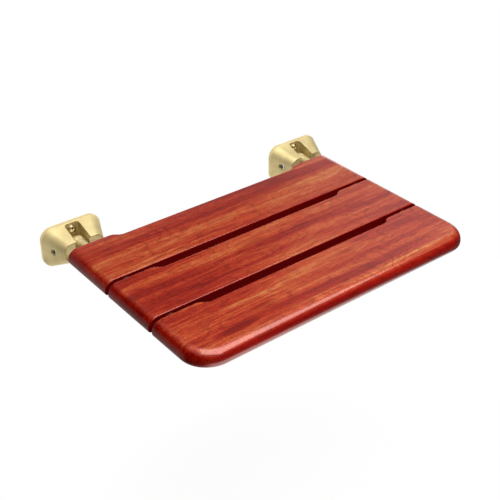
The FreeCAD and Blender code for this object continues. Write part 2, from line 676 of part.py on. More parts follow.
def make_parts(doc):
    """Every sub-part of the seat, in the order in which it would be put together."""
    bodies = []
    for side, sign in SIDES.items():
        bodies.append(make_bracket(doc, f"{side}_bracket", sign))
        bodies.append(make_wall_washers(doc, f"{side}_wall_washers", sign))
        bodies.append(make_wall_screws(doc, f"{side}_wall_screws", sign))
        bodies.append(make_arm(doc, f"{side}_arm", sign))
        bodies.append(make_bush(doc, f"{side}_pivot_bush", sign))
        bodies.append(make_thrust_washer(doc, f"{side}_outer_thrust_washer", sign, sign))
        bodies.append(make_thrust_washer(doc, f"{side}_inner_thrust_washer", sign, -sign))
        bodies.append(make_pivot_screw(doc, f"{side}_pivot_screw", sign))
        bodies.append(make_slat_screws(doc, f"{side}_slat_screws", sign))
    for label in SLATS:
        bodies.append(make_slat(doc, label))
    return bodies


def write_parts(doc, bodies):
    """Checks every object and every shape before the files are written."""
    doc.recompute()
    for thing in doc.Objects:
        if "Invalid" in thing.State or "Error" in thing.State:
            raise RuntimeError(f"{thing.Name} could not be worked out: {thing.State}")
    for body in bodies:
        if body.Shape.isNull() or not body.Shape.isValid():
            raise RuntimeError(f"{body.Label} has no valid shape")
    os.makedirs("parts", exist_ok=True)
    for body in bodies:
        body.Shape.exportStep(f"parts/{body.Label}.step")
        box = body.Shape.BoundBox
        print(f"{body.Label}: {len(body.Shape.Solids)} solid(s), {body.Shape.Volume:.0f} mm3,"
              f" X {box.XMin:.1f} to {box.XMax:.1f}, Y {box.YMin:.1f} to {box.YMax:.1f},"
              f" Z {box.ZMin:.1f} to {box.ZMax:.1f}")


def main():
    doc = FreeCAD.newDocument("fold_down_wall_seat")
    fill_sheet(doc)
    write_parts(doc, make_parts(doc))


main()
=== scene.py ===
"""The looks of the fold down wall seat, laid round its packed frame.

The frame is in metres: the wall is the plane Y = 0, +Z is up and the seat stands out towards -Y.
Every solid of the frame keeps its shape and gets a finish. The wall screws are made anew with their
threads. The stage is a pale floor, a wall panel, one soft lamp and the camera.
"""

import math

import bpy
import numpy as np
from mathutils import Matrix, Vector


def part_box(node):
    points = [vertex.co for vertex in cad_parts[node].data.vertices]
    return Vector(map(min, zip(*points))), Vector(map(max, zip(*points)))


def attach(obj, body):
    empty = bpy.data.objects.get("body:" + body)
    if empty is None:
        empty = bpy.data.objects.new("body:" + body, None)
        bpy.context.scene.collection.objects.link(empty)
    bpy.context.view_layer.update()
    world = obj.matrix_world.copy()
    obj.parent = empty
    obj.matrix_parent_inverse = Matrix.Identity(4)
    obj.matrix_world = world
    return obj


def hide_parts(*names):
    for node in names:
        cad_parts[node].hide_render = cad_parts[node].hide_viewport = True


bl_info = {
    "name": "Fold down wall seat",
    "version": (1, 0, 0),
    "blender": (4, 5, 0),
    "location": "View3D > Sidebar > Wall seat",
    "description": "Finishes, wall screws and stage of a slatted fold down wall seat",
    "category": "Object",
}

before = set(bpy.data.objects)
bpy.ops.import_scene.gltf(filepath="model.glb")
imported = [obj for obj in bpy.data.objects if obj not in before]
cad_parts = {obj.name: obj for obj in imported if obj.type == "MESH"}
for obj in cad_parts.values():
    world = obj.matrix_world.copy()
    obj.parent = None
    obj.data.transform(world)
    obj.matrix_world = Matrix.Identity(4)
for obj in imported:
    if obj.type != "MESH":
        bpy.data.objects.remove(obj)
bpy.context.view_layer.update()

MM = 0.001

CASTINGS = ("left_bracket", "right_bracket")
ARMS = ("left_arm", "right_arm")
PIVOT_SCREWS = ("left_pivot_screw", "right_pivot_screw")
SLAT_SCREWS = ("left_slat_screws", "right_slat_screws")
WALL_WASHERS = ("left_wall_washers", "right_wall_washers")
WALL_SCREWS = ("left_wall_screws", "right_wall_screws")
BEARINGS = (
    "left_pivot_bush",
    "right_pivot_bush",
    "left_outer_thrust_washer",
    "left_inner_thrust_washer",
    "right_outer_thrust_washer",
    "right_inner_thrust_washer",
)

# The board of each slat: how far its pattern is moved through the grain in metres, how far the grain is
# turned about Z in radians, and its flames. A flame is a broad lens of paler or darker wood: its middle
# along X and Y, half its length, half its width, all in metres, and how much paler it is.
BOARDS = {
    "rear_slat": ((0.31, 0.07, 0.02), 0.010, (
        (-0.037, -0.115, 0.280, 0.020, 0.035),
        (-0.060, -0.070, 0.230, 0.020, -0.028),
        (0.010, -0.142, 0.280, 0.009, 0.035),
        (0.193, -0.082, 0.090, 0.018, -0.025),
    )),
    "middle_slat": ((1.72, 0.19, 0.05), -0.014, (
        (0.013, -0.181, 0.270, 0.013, 0.030),
        (0.010, -0.211, 0.220, 0.018, -0.032),
        (0.000, -0.242, 0.160, 0.011, 0.040),
    )),
    "front_slat": ((3.05, 0.42, 0.11), 0.018, (
        (-0.090, -0.300, 0.230, 0.024, 0.035),
        (-0.158, -0.329, 0.034, 0.008, -0.110),
        (0.070, -0.332, 0.220, 0.016, -0.040),
        (0.100, -0.283, 0.170, 0.012, -0.032),
    )),
}

# The faces of a wall screw: round its axis, from the middle of the dome to its rim, and along the thread.
SCREW_SIDES = 96
DOME_RINGS = 30
THREAD_RINGS = 260

# On the floor, along X and Y: the middle of the seat's shadow and that of the pale pool in its gloss.
SHADOW_MIDDLE = (0.0, -0.45)
POOL_MIDDLE = (-0.1, -0.8)
# The wall panel stands just behind the backs of the brackets.
PANEL_GAP = 0.4 * MM

WHITE = "#FFFFFF"
SMOOTH = {"interpolation_type": "SMOOTHSTEP"}


def linear(colour):
    """An sRGB hex colour as linear red, green, blue and an alpha of one."""
    channels = np.array([int(colour[i:i + 2], 16) for i in (1, 3, 5)]) / 255
    channels = np.where(channels <= 0.04045, channels / 12.92, ((channels + 0.055) / 1.055) ** 2.4)
    return (*channels.tolist(), 1.0)


def add_node(tree, kind, settings=None, stops=(), **inputs):
    """A shader node with its settings, the stops of a colour ramp, and its inputs.

    An input goes by its name, or as i0, i1 and so on by its number. It is a value, an output of another
    node, or a node, which stands for its first live output. A stop is a place and an sRGB hex colour.
    """
    node = tree.nodes.new(f"ShaderNode{kind}")
    for name, value in (settings or {}).items():
        setattr(node, name, value)
    for number, (place, colour) in enumerate(stops):
        elements = node.color_ramp.elements
        stop = elements[number] if number < len(elements) else elements.new(place)
        stop.position, stop.color = place, linear(colour)
    for name, value in inputs.items():
        socket = node.inputs[int(name[1:]) if name[1:].isdigit() else name.replace("_", " ")]
        if isinstance(value, bpy.types.Node):
            value = next(output for output in value.outputs if output.enabled)
        if isinstance(value, bpy.types.NodeSocket):
            tree.links.new(value, socket)
        else:
            socket.default_value = value
    return node


def new_material(name):
    """An empty material and its node tree."""
    material = bpy.data.materials.new(name)
    material.use_nodes = True
    material.node_tree.nodes.clear()
    return material, material.node_tree


def pattern_places(tree, sizes, shift=(0.0, 0.0, 0.0)):
    """Object coordinates, moved by a shift and counted in a pattern's sizes along X, Y and Z in metres."""
    return add_node(
        tree,
        "Mapping",
        Vector=add_node(tree, "TexCoord").outputs["Object"],
        Location=Vector(move / size for move, size in zip(shift, sizes)),
        Scale=Vector(1 / size for size in sizes),
    )


def plan_distance(tree, x, y, half_length=1.0, half_width=1.0):
    """The distance in plan from a place, counted in half lengths along X and half widths along Y."""
    places = pattern_places(tree, (half_length, half_width, math.inf), (-x, -y, 0.0))
    return add_node(tree, "VectorMath", {"operation": "LENGTH"}, i0=places)


def middle(node, axis):
    """The middle of a CAD node along an axis: 0, 1 or 2 for X, Y or Z."""
    low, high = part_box(node)
    return (low[axis] + high[axis]) / 2


def varnished_hardwood(name, wood, shift, tilt, flames):
    """Red hardwood, planed, stained and varnished: mottled red heartwood with short ochre streaks.

    To the eye: dark red and orange patches a hand long and a finger wide, with clusters of ochre
    streaks 1 to 3 mm wide in the orange ones, faint growth rings that close into long ovals, pores as
    dark dashes about 1 mm wide, and a soft gloss over it all. The faces in the gaps and at the back
    carry no varnish and a painted shade of dull dark maroon. The rounds, sides and ends are darkened
    as painted shade by how they face, the front face more, and the ends also for their end grain.
    """
    material, tree = new_material(name)
    slow_places = pattern_places(tree, (200 * MM, 45.45 * MM, 45.45 * MM), shift)
    slow = add_node(tree, "TexNoise", Vector=slow_places, Scale=1.0, Detail=2.0, Roughness=0.5)
    centred = add_node(tree, "Math", {"operation": "SUBTRACT"}, i0=slow, i1=0.5)

    def grain(length, width, detail, roughness, sway):
        """Noise of a length along the board and a width across it, swaying sideways with the slow noise."""
        places = pattern_places(tree, (length, width, width), shift)
        turned = add_node(tree, "VectorRotate", {"rotation_type": "Z_AXIS"}, Vector=places, Angle=tilt)
        sideways = add_node(tree, "Math", {"operation": "MULTIPLY"}, i0=centred, i1=sway / width)
        swayed = add_node(tree, "CombineXYZ", Y=sideways)
        moved = add_node(tree, "VectorMath", {"operation": "ADD"}, i0=turned, i1=swayed)
        return add_node(tree, "TexNoise", Vector=moved, Scale=1.0, Detail=detail, Roughness=roughness)

    # real fibres and pores are 0.05 to 0.3 mm wide and wouldn't show, so they are drawn over 1 mm wide
    patches = grain(277.8 * MM, wood.patch_width, detail=2.0, roughness=0.45, sway=10 * MM)
    streaks = grain(125 * MM, wood.streak_width, detail=3.0, roughness=0.6, sway=5 * MM)
    fibres = grain(38.46 * MM, wood.fibre_width, detail=2.0, roughness=0.7, sway=3 * MM)
    pores = grain(9.091 * MM, wood.pore_width, detail=1.0, roughness=0.5, sway=3 * MM)
    flecks = grain(3.333 * MM, wood.fleck_width, detail=1.0, roughness=0.5, sway=0.0)
    mottle = grain(11.11 * MM, 16.67 * MM, detail=2.0, roughness=0.6, sway=0.0)

    # the figure of the wood, from dark heart to pale streak: the sum of the patterns by their shares
    figure = 0.0
    for noise, share in ((patches, 0.38), (streaks, 0.26), (fibres, 0.16), (mottle, 0.07), (flecks, 0.13)):
        figure = add_node(tree, "Math", {"operation": "MULTIPLY_ADD"}, i0=noise, i1=share, i2=figure)
    # the patches make the outlines of the flames ragged
    ragged = add_node(tree, "Math", {"operation": "MULTIPLY_ADD"}, i0=patches, i1=1.6, i2=-0.8)
    for x, y, half_length, half_width, paler in flames:
        away = plan_distance(tree, x, y, half_length, half_width)
        away = add_node(tree, "Math", {"operation": "ADD"}, i0=away, i1=ragged)
        lens = add_node(
            tree, "MapRange", SMOOTH, Value=away, From_Min=0.3, From_Max=1.2, To_Min=paler, To_Max=0.0
        )
        figure = add_node(tree, "Math", {"operation": "ADD"}, i0=figure, i1=lens)
    board_stops = (
        (0.38, wood.heart_colour),
        (0.462, wood.red_colour),
        (0.536, wood.orange_colour),
        (0.63, wood.streak_colour),
    )
    board = add_node(tree, "ValToRGB", stops=board_stops, Fac=figure)

    # growth rings: the level lines of the slow noise
    level = add_node(tree, "Math", {"operation": "MULTIPLY"}, i0=slow, i1=wood.rings)
    level = add_node(tree, "Math", {"operation": "FRACT"}, i0=level)
    ring_stops = ((0.0, WHITE), (0.55, WHITE), (0.92, wood.ring_colour), (1.0, WHITE))
    rings = add_node(tree, "ValToRGB", stops=ring_stops, Fac=level)
    dashes = add_node(tree, "ValToRGB", stops=((0.26, wood.pore_colour), (0.42, WHITE)), Fac=pores)

    coordinates = add_node(tree, "TexCoord")
    place = add_node(tree, "SeparateXYZ", Vector=coordinates.outputs["Object"])
    side = add_node(tree, "SeparateXYZ", Vector=coordinates.outputs["Normal"])
    along_x, along_y, along_z = (
        add_node(tree, "Math", {"operation": "ABSOLUTE"}, i0=side.outputs[axis]) for axis in "XYZ"
    )
    # painted shade: faces that turn from level, the rounds, the sides and the ends, are darker than the
    # flat top and underside
    stain_stops = ((0.0, wood.painted_shade_colour), (0.72, wood.painted_shade_colour), (0.96, WHITE))
    stain = add_node(tree, "ValToRGB", stops=stain_stops, Fac=along_z)
    # painted shade and end grain: the ends darker still, partly for the deeper stain of their end grain
    end = add_node(tree, "MapRange", SMOOTH, Value=along_x, From_Min=0.3, From_Max=0.8)
    end_shade = add_node(tree, "ValToRGB", stops=((0.0, WHITE), (1.0, wood.end_grain_and_shade_colour)), Fac=end)
    # painted shade: the faces that face along Y are darker again, which shows on the front face
    front = add_node(tree, "MapRange", SMOOTH, Value=along_y, From_Min=0.6, From_Max=0.95)
    front_shade = add_node(tree, "ValToRGB", stops=((0.0, WHITE), (1.0, wood.front_shade_colour)), Fac=front)
    darken = {"data_type": "RGBA", "blend_type": "MULTIPLY"}
    for shade, share in ((rings, 0.8), (dashes, 0.7), (stain, 1.0), (end_shade, 1.0), (front_shade, 1.0)):
        board = add_node(tree, "Mix", darken, i0=share, i6=board, i7=shade)

    # the faces in the gaps and at the back: all that face along Y, but for the front edge of the seat;
    # they get a painted shade of dull dark maroon and no varnish
    edge = add_node(tree, "MapRange", SMOOTH, Value=along_y, From_Min=0.4, From_Max=0.8)
    front_middle = middle("front_slat", 1)
    behind = add_node(tree, "Math", {"operation": "GREATER_THAN"}, i0=place.outputs["Y"], i1=front_middle)
    edge = add_node(tree, "Math", {"operation": "MULTIPLY"}, i0=edge, i1=behind)
    base = add_node(tree, "Mix", {"data_type": "RGBA"}, i0=edge, i6=board, i7=linear(wood.gap_shade_colour))

    # no varnish in the gaps and at the back, little on the ends, whose grain drank it, and more on the
    # lower rounds
    on_ends = add_node(
        tree, "MapRange", SMOOTH, Value=end, From_Min=0.0, From_Max=1.0, To_Min=1.0, To_Max=0.1
    )
    coated = add_node(tree, "Math", {"operation": "SUBTRACT"}, i0=1.0, i1=edge)
    coated = add_node(tree, "Math", {"operation": "MULTIPLY"}, i0=coated, i1=on_ends)
    gathered = add_node(
        tree,
        "MapRange",
        SMOOTH,
        Value=side.outputs["Z"],
        From_Min=0.1,
        From_Max=0.5,
        To_Min=1.0,
        To_Max=wood.varnish,
    )
    varnish = add_node(tree, "Math", {"operation": "MULTIPLY"}, i0=coated, i1=gathered)
    sheen = add_node(tree, "Math", {"operation": "MULTIPLY"}, i0=coated, i1=wood.sheen)

    relief = add_node(tree, "Math", {"operation": "MULTIPLY_ADD"}, i0=pores, i1=0.8, i2=fibres)
    raised = add_node(tree, "Bump", Strength=0.12, Distance=0.2 * MM, Height=relief)
    # the clear varnish has flowed out level, with the long waves of a brush in it, 4 mm from hair to hair
    brushed_places = pattern_places(tree, (33.33 * MM, 3.846 * MM, 3.846 * MM), shift)
    brushed = add_node(tree, "TexNoise", Vector=brushed_places, Scale=1.0, Detail=2.0)
    waves = add_node(tree, "Bump", Strength=0.10, Distance=0.4 * MM, Height=brushed)
    # stained wood has an IOR of about 1.5 and a hard clear varnish one of 1.6
    shader = add_node(
        tree,
        "BsdfPrincipled",
        Base_Color=base,
        Roughness=0.32,
        IOR=1.5,
        Specular_IOR_Level=sheen,
        Specular_Tint=linear(wood.sheen_colour),
        Normal=raised,
        Coat_Weight=varnish,
        Coat_Roughness=wood.varnish_roughness,
        Coat_IOR=1.6,
        Coat_Normal=waves,
    )
    add_node(tree, "OutputMaterial", Surface=shader)
    return material


def satin_brass(name, metal, grit, tint, shaded_under_slats=False):
    """Brass, blasted with fine grit and lacquered: a soft pale gold with no mirror image.

    To the eye: an even sheen, broken by a fine sparkle and by faint clouds of a duller tone, 22 mm
    across. On the arms, the upper side ahead of the middle of the rear slat, under the slats, is a
    painted shade of dull brown. The real grit is about 0.1 mm and wouldn't show, so it comes here
    five times as coarse or more.
    """
    material, tree = new_material(name)
    sparkle = add_node(tree, "TexNoise", Vector=pattern_places(tree, (grit,) * 3), Scale=1.0, Detail=2.0)
    cloud_places = pattern_places(tree, (22.22 * MM,) * 3)
    clouds = add_node(tree, "TexNoise", Vector=cloud_places, Scale=1.0, Detail=3.0)
    colour = add_node(tree, "ValToRGB", stops=((0.3, metal.shade_colour), (0.7, tint)), Fac=clouds)
    # painted shade: the upper side of the arms under the slats turns dull brown
    if shaded_under_slats:
        coordinates = add_node(tree, "TexCoord")
        place = add_node(tree, "SeparateXYZ", Vector=coordinates.outputs["Object"])
        side = add_node(tree, "SeparateXYZ", Vector=coordinates.outputs["Normal"])
        upper = add_node(tree, "MapRange", Value=side.outputs["Z"], From_Min=0.1, From_Max=0.4)
        rear_middle = middle("rear_slat", 1)
        ahead = add_node(tree, "Math", {"operation": "LESS_THAN"}, i0=place.outputs["Y"], i1=rear_middle)
        share = add_node(tree, "Math", {"operation": "MULTIPLY"}, i0=upper, i1=ahead)
        stain = linear(metal.painted_shade_colour)
        colour = add_node(tree, "Mix", {"data_type": "RGBA"}, i0=share, i6=colour, i7=stain)
    rough = add_node(
        tree,
        "MapRange",
        Value=clouds,
        From_Min=0.3,
        From_Max=0.7,
        To_Min=metal.roughness + 0.03,
        To_Max=metal.roughness - 0.03,
    )
    bump = add_node(tree, "Bump", Strength=0.10, Distance=0.2 * MM, Height=sparkle)
    shader = add_node(
        tree, "BsdfPrincipled", Base_Color=colour, Metallic=1.0, Roughness=rough, Normal=bump
    )
    add_node(tree, "OutputMaterial", Surface=shader)
    return material


def turned_metal(name, bright, dull, roughness, ring):
    """Bar metal, turned or rolled to shape and tumbled.

    To the eye: a clear gloss drawn out by fine rings from the tool, and duller stains 7 mm across where
    it was handled. Real rings are 0.05 to 0.1 mm apart and wouldn't show, so they are drawn coarser.
    """
    material, tree = new_material(name)
    ring_places = pattern_places(tree, (ring, 16.67 * MM, 16.67 * MM))
    marks = add_node(tree, "TexNoise", Vector=ring_places, Scale=1.0, Detail=2.0)
    stain_places = pattern_places(tree, (7.143 * MM,) * 3)
    stains = add_node(tree, "TexNoise", Vector=stain_places, Scale=1.0, Detail=3.0)
    rough = add_node(
        tree,
        "MapRange",
        Value=marks,
        From_Min=0.3,
        From_Max=0.7,
        To_Min=roughness - 0.05,
        To_Max=roughness + 0.08,
    )
    shader = add_node(
        tree,
        "BsdfPrincipled",
        Base_Color=add_node(tree, "ValToRGB", stops=((0.35, dull), (0.6, bright)), Fac=stains),
        Metallic=1.0,
        Roughness=rough,
        Normal=add_node(tree, "Bump", Strength=0.15, Distance=0.1 * MM, Height=marks),
    )
    add_node(tree, "OutputMaterial", Surface=shader)
    return material


def moulded_nylon(name, colour, shade):
    """Oil filled nylon, injection moulded.

    To the eye: tan and slightly translucent, with flow lines about 6 mm apart, and a low sheen from the
    spark eroded skin of the mould. The tan is kept dark as painted shade for the slots where these parts
    show. The real skin is 0.05 mm coarse and wouldn't show: here it is 0.4 mm.
    """
    material, tree = new_material(name)
    flow = add_node(tree, "TexNoise", Vector=pattern_places(tree, (5.556 * MM,) * 3), Scale=1.0, Detail=3.0)
    skin = add_node(tree, "TexNoise", Vector=pattern_places(tree, (0.4 * MM,) * 3), Scale=1.0, Detail=1.0)
    shader = add_node(
        tree,
        "BsdfPrincipled",
        Base_Color=add_node(tree, "ValToRGB", stops=((0.35, shade), (0.65, colour)), Fac=flow),
        Roughness=0.42,
        IOR=1.53,
        Subsurface_Weight=0.15,
        Subsurface_Radius=(2.0 * MM, 1.8 * MM, 1.5 * MM),
        Normal=add_node(tree, "Bump", Strength=0.1, Distance=0.1 * MM, Height=skin),
    )
    add_node(tree, "OutputMaterial", Surface=shader)
    return material


def finish_nodes(names, material):
    """Gives CAD nodes one material."""
    for name in names:
        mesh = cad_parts[name].data
        mesh.materials.clear()
        mesh.materials.append(material)


def closed_mesh(name, grids):
    """One mesh of grids whose rings close on themselves and whose first and last rings are points.

    Between two rings each side is one face, and a fan of triangles closes the mesh at each end point.
    """
    points, faces, start = [], [], 0
    for grid in grids:
        rings, sides, _ = grid.shape
        first, last = grid[0].mean(axis=0), grid[-1].mean(axis=0)
        points.append(np.concatenate([[first], grid[1:-1].reshape(-1, 3), [last]]))
        index = start + 1 + np.arange((rings - 2) * sides).reshape(rings - 2, sides)
        ahead = np.roll(index, -1, axis=1)
        quads = np.stack([index[:-1], index[1:], ahead[1:], ahead[:-1]], axis=-1).reshape(-1, 4)
        end = start + 1 + (rings - 2) * sides
        faces += quads.tolist()
        faces += np.stack([np.full(sides, start), index[0], ahead[0]], axis=-1).tolist()
        faces += np.stack([ahead[-1], index[-1], np.full(sides, end)], axis=-1)[:, ::-1].tolist()
        start = end + 1
    mesh = bpy.data.meshes.new(name)
    mesh.from_pydata(np.concatenate(points).tolist(), [], faces)
    mesh.validate()
    mesh.update()
    return mesh


def screw_grid(x, z, screws):
    """A cross recessed wood screw along Y, its head towards -Y.

    The profile is a line of rings of a radius and a place: the domed head from its middle to its rim,
    down to the seat, the plain shank, the thread and the point. The thread adds to the radius a
    ridge that is highest where place / pitch - angle / turn is half past a whole number, and falls off
    on both sides. The recess sinks the head where either of two bars crosses the middle.
    """
    angle = np.linspace(0, 2 * math.pi, SCREW_SIDES, endpoint=False)[None, :]
    head, shank, crest = (size / 2 for size in (screws.head_diameter, screws.shank, screws.thread_diameter))

    # the dome is a quarter of an ellipse, a little fuller, on a rim of 0.35 of the head's height
    rim, fullness = 0.35, 0.8
    quarter = np.linspace(0.0, math.pi / 2, DOME_RINGS)
    dome = screws.head_height * (rim + (1 - rim) * np.cos(quarter) ** fullness)
    shank_end = -0.6 * MM
    plain_radius = np.concatenate([head * np.sin(quarter), [head, shank, shank]])
    plain_place = np.concatenate([-screws.head_seat - dome, [-screws.head_seat] * 2, [shank_end]])

    # the ridge rises over half a turn and starts to fall a third of the way down the point
    core_share, ridge_share, tip = 0.68, 0.24, 0.02 * MM
    core = core_share * crest
    thread_place = np.linspace(0.0, screws.depth, THREAD_RINGS)[:, None]
    taper = np.clip((screws.depth - thread_place) / screws.point, 0.0, 1.0)
    run_in = np.clip(thread_place / (screws.pitch / 2), 0.0, 1.0)
    phase = (thread_place / screws.pitch - angle / (2 * math.pi)) % 1.0
    ridge = np.clip(1.0 - np.abs(phase - 0.5) / ridge_share, 0.0, 1.0)
    ridge = ridge * (crest - core) * run_in * np.minimum(1.0, 1.6 * taper) * taper ** 0.25
    thread_radius = np.maximum(core * taper ** 0.8 + ridge, tip)

    plain_radius = np.repeat(plain_radius[:, None], SCREW_SIDES, axis=1)
    radius = np.concatenate([plain_radius, thread_radius])
    place = np.concatenate([plain_place[:, None], thread_place])
    across, up = radius * np.cos(angle), radius * np.sin(angle)

    # the recess has steep ends and a flat bottom
    in_bar = np.minimum(np.abs(across), np.abs(up)) < screws.recess_width / 2
    in_reach = np.maximum(np.abs(across), np.abs(up)) < screws.recess_length / 2
    on_dome = np.arange(len(radius))[:, None] < DOME_RINGS
    slope = np.clip(1.0 - np.hypot(across, up) / (0.62 * screws.recess_length), 0.0, 1.0)
    sunk = screws.recess_depth * np.clip(2.2 * slope, 0.0, 1.0) * (in_bar & in_reach & on_dome)
    return np.stack([across, place + sunk, up], axis=-1) + np.array([x, 0.0, z])


def add_plane(name, corners, material):
    """A flat stage piece through four corners, in the order that makes its front."""
    mesh = bpy.data.meshes.new(name)
    mesh.from_pydata(corners, [], [(0, 1, 2, 3)])
    mesh.materials.append(material)
    plane = bpy.data.objects.new(name, mesh)
    bpy.context.scene.collection.objects.link(plane)


def mirrored(tree, path):
    """One for gloss and transmission rays, and zero for the others."""
    gloss, clear = path.outputs["Is Glossy Ray"], path.outputs["Is Transmission Ray"]
    return add_node(tree, "Math", {"operation": "MAXIMUM"}, i0=gloss, i1=clear)


def one_sided(tree, shader):
    """Lays a shader on the front of a plane, and nothing at all on its back."""
    back = add_node(tree, "NewGeometry").outputs["Backfacing"]
    clear = add_node(tree, "BsdfTransparent")
    add_node(tree, "OutputMaterial", Surface=add_node(tree, "MixShader", Fac=back, i1=shader, i2=clear))


def floor_finish(stage):
    """Matt grey paper with a tooth of 2.5 mm. It reads white, and keeps a share of the shadow on it.

    To the camera it is plain white past the soft shadow of the seat. In gloss it is pale before the
    seat and dim farther out.
    """
    material, tree = new_material("studio_paper")
    path = add_node(tree, "LightPath")
    camera = path.outputs["Is Camera Ray"]
    tooth = add_node(tree, "TexNoise", Vector=pattern_places(tree, (2.5 * MM,) * 3), Scale=1.0, Detail=2.0)
    grey = add_node(tree, "ValToRGB", stops=((0.3, stage.paper_dark), (0.7, stage.paper_light)), Fac=tooth)
    paper = add_node(tree, "BsdfDiffuse", Color=grey, Roughness=0.5)
    whiteness = add_node(
        tree,
        "MapRange",
        SMOOTH,
        Value=plan_distance(tree, *SHADOW_MIDDLE),
        From_Min=0.3,
        From_Max=1.1,
        To_Min=stage.floor_whiteness,
        To_Max=1.0,
    )
    pool = add_node(
        tree,
        "MapRange",
        SMOOTH,
        Value=plan_distance(tree, *POOL_MIDDLE),
        From_Min=0.5,
        From_Max=1.0,
        To_Min=stage.floor_gloss,
        To_Max=0.08,
    )
    level = add_node(tree, "MapRange", Value=camera, To_Min=pool, To_Max=stage.floor_level)
    light = add_node(tree, "Emission", Color=linear(WHITE), Strength=level)
    seen = add_node(tree, "Math", {"operation": "MAXIMUM"}, i0=camera, i1=mirrored(tree, path))
    share = add_node(tree, "Math", {"operation": "MULTIPLY"}, i0=seen, i1=whiteness)
    one_sided(tree, add_node(tree, "MixShader", Fac=share, i1=paper, i2=light))
    return material


def wall_finish(stage):
    """The wall: white to the camera, pale in gloss up to a height, and nothing to soft light and shadow."""
    material, tree = new_material("studio_wall")
    path = add_node(tree, "LightPath")
    camera = path.outputs["Is Camera Ray"]
    place = add_node(tree, "SeparateXYZ", Vector=add_node(tree, "TexCoord").outputs["Object"])
    low = add_node(tree, "Math", {"operation": "LESS_THAN"}, i0=place.outputs["Z"], i1=stage.wall_height)
    in_gloss = add_node(tree, "Math", {"operation": "MULTIPLY"}, i0=low, i1=mirrored(tree, path))
    level = add_node(tree, "MapRange", Value=camera, To_Min=stage.wall_gloss, To_Max=1.0)
    light = add_node(tree, "Emission", Color=linear(WHITE), Strength=level)
    clear = add_node(tree, "BsdfTransparent")
    share = add_node(tree, "Math", {"operation": "MAXIMUM"}, i0=camera, i1=in_gloss)
    one_sided(tree, add_node(tree, "MixShader", Fac=share, i1=clear, i2=light))
    return material


def pointing(heading, climb):
    """The direction at a heading from +Y towards +X and a climb above level."""
    return Vector((
        math.sin(heading) * math.cos(climb), math.cos(heading) * math.cos(climb), math.sin(climb)
    ))


def studio_world(stage):
    """White to the camera. To the object a dim studio: bright overhead, with one pale screen behind it."""
    world = bpy.data.worlds.new("studio_world")
    world.use_nodes = True
    tree = world.node_tree
    tree.nodes.clear()
    direction = add_node(tree, "TexCoord").outputs["Generated"]
    height = add_node(tree, "SeparateXYZ", Vector=direction).outputs["Z"]
    height = add_node(tree, "MapRange", Value=height, From_Min=-1.0, From_Max=1.0)
    # from straight down at 0 to straight up at 1
    studio_stops = (
        (0.0, stage.below_colour),
        (0.5, stage.horizon_colour),
        (0.82, stage.horizon_colour),
        (0.95, stage.zenith_colour),
    )
    studio = add_node(tree, "ValToRGB", stops=studio_stops, Fac=height)
    # the screen stands at the back on the right, low enough to lie in the gloss of the slats; its soft
    # edge lies between the cosines of the angles from its middle
    screen = pointing(stage.screen_heading, stage.screen_climb)
    nearness = add_node(tree, "VectorMath", {"operation": "DOT_PRODUCT"}, i0=direction, i1=screen)
    glow = add_node(
        tree,
        "MapRange",
        SMOOTH,
        Value=nearness,
        From_Min=0.95,
        From_Max=0.995,
        To_Min=0.0,
        To_Max=stage.screen_light,
    )
    glow = add_node(tree, "CombineXYZ", X=glow, Y=glow, Z=glow)
    lit = add_node(tree, "VectorMath", {"operation": "ADD"}, i0=studio, i1=glow)
    soft = add_node(tree, "Background", Color=lit, Strength=stage.studio_light)
    white = add_node(tree, "Background", Color=linear(WHITE), Strength=1.0)
    camera = add_node(tree, "LightPath").outputs["Is Camera Ray"]
    add_node(tree, "OutputWorld", Surface=add_node(tree, "MixShader", Fac=camera, i1=soft, i2=white))
    bpy.context.scene.world = world


def facing(place, target):
    """The matrix of a lamp or a camera at a place that looks at a target, level."""
    place, target = Vector(place), Vector(target)
    turn = (target - place).to_track_quat("-Z", "Y")
    return Matrix.Translation(place) @ turn.to_matrix().to_4x4()


def add_softbox(stage):
    """The one soft lamp, above the seat and before it."""
    lamp = bpy.data.lights.new("key_softbox", "AREA")
    lamp.shape = "RECTANGLE"
    lamp.size, lamp.size_y = stage.softbox_width, stage.softbox_length
    lamp.energy = stage.softbox_power
    softbox = bpy.data.objects.new("key_softbox", lamp)
    softbox.matrix_world = facing(stage.softbox_place, stage.softbox_target)
    bpy.context.scene.collection.objects.link(softbox)


def add_camera(stage):
    """The camera of the view: its place, its heading from +Y towards +X and its pitch downwards."""
    camera = bpy.data.cameras.new("view_camera")
    camera.sensor_width = 36.0
    camera.lens = stage.focal_length
    camera.clip_start, camera.clip_end = 0.05, 100.0
    eye = Vector(stage.camera_place)
    view = bpy.data.objects.new("view_camera", camera)
    view.matrix_world = facing(eye, eye + pointing(stage.camera_heading, -stage.camera_pitch))
    bpy.context.scene.collection.objects.link(view)
    bpy.context.scene.camera = view


def hex_property(name, default, description):
    return bpy.props.StringProperty(name=name, default=default, maxlen=7, description=description)


def length_property(name, default, description):
    return bpy.props.FloatProperty(name=name, default=default, unit="LENGTH", description=description)


def share_property(name, default, description):
    return bpy.props.FloatProperty(
        name=name, default=default, min=0.0, max=1.0, subtype="FACTOR", description=description)


def level_property(name, default, description):
    return bpy.props.FloatProperty(name=name, default=default, min=0.0, description=description)


def angle_property(name, degrees, description):
    return bpy.props.FloatProperty(
        name=name, default=math.radians(degrees), subtype="ANGLE", unit="ROTATION", description=description)


def place_property(name, default, description):
    return bpy.props.FloatVectorProperty(
        name=name, default=default, subtype="TRANSLATION", unit="LENGTH", description=description)


